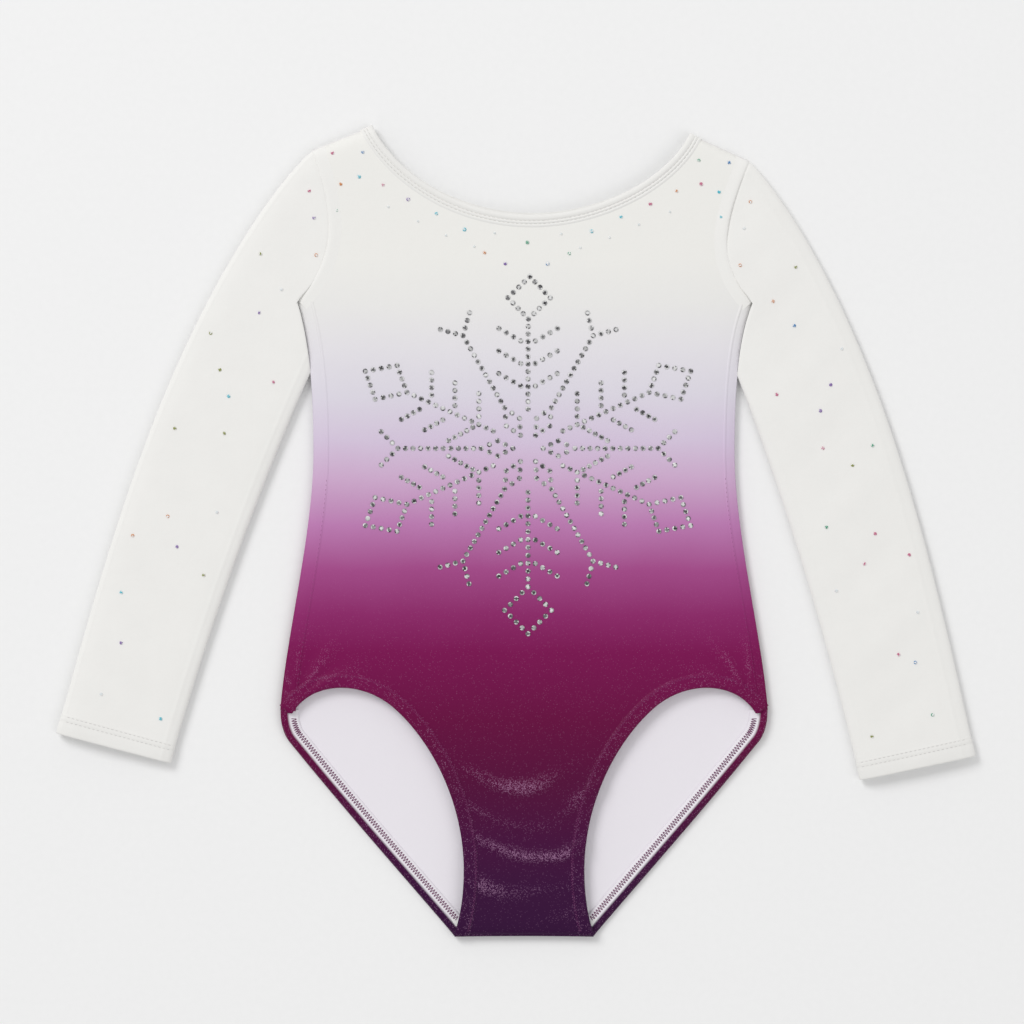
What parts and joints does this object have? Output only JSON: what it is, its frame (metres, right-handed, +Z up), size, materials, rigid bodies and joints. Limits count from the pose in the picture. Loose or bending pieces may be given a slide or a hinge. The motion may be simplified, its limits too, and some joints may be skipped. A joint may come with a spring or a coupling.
{
  "type": "gymnastics leotard",
  "caption": "Long-sleeved stretch gymnastics leotard with an ombre body, scoop neck and snowflake of stones, lying flat on its back.",
  "frame": {"origin": "on the table below the middle of the garment's box", "axes": "+Z up out of the table and the chest, +Y towards the neck, +X towards the wearer's left"},
  "size_m": [0.608, 0.5346, 0.0092],
  "materials": {
    "printed_cloth": "smooth stretch velour, white to purple",
    "back_cloth": "dull inside of the print",
    "white_cloth": "smooth stretch cloth",
    "white_seam": "serged seam",
    "magenta_cloth": "turned hem",
    "elastic_tape": "knitted elastic",
    "silver_stones": "faceted and foiled"
  },
  "bodies": {
    "torso": {"front_panel": "printed_cloth", "back_panel": "back_cloth", "neck_hem": "white_cloth", "neck_elastic": "elastic_tape", "crotch_seam": "magenta_cloth", "crotch_lining": "back_cloth", "left_shoulder_seam": "white_seam", "left_armhole_seam": "white_seam", "left_side_seam": "white_seam", "left_leg_hem": "magenta_cloth", "left_leg_elastic": "elastic_tape", "right_shoulder_seam": "white_seam", "right_armhole_seam": "white_seam", "right_side_seam": "white_seam", "right_leg_hem": "magenta_cloth", "right_leg_elastic": "elastic_tape", "snowflake_top_arm": "silver_stones", "snowflake_bottom_arm": "silver_stones", "snowflake_upper_left_arm": "silver_stones", "snowflake_upper_right_arm": "silver_stones", "snowflake_lower_left_arm": "silver_stones", "snowflake_lower_right_arm": "silver_stones", "snowflake_fine_arm_1": "silver_stones", "snowflake_fine_arm_2": "silver_stones", "snowflake_fine_arm_3": "silver_stones", "snowflake_fine_arm_4": "silver_stones", "snowflake_fine_arm_5": "silver_stones", "snowflake_fine_arm_6": "silver_stones"},
    "left_sleeve": {"left_sleeve": "white_cloth", "left_cuff_hem": "white_cloth", "left_underarm_seam": "white_seam"},
    "right_sleeve": {"right_sleeve": "white_cloth", "right_cuff_hem": "white_cloth", "right_underarm_seam": "white_seam"}
  },
  "joints": [
    {"name": "left_sleeve_fold", "type": "hinge", "parent": "torso", "child": "left_sleeve", "pos_m": [0.15539, 0.19792, 0.01], "axis": [0.0229, -0.9997, 0], "range_deg": [0, 170]},
    {"name": "right_sleeve_fold", "type": "hinge", "parent": "torso", "child": "right_sleeve", "pos_m": [-0.13961, 0.20192, 0.01], "axis": [0.0998, 0.995, 0], "range_deg": [0, 170]}
  ]
}
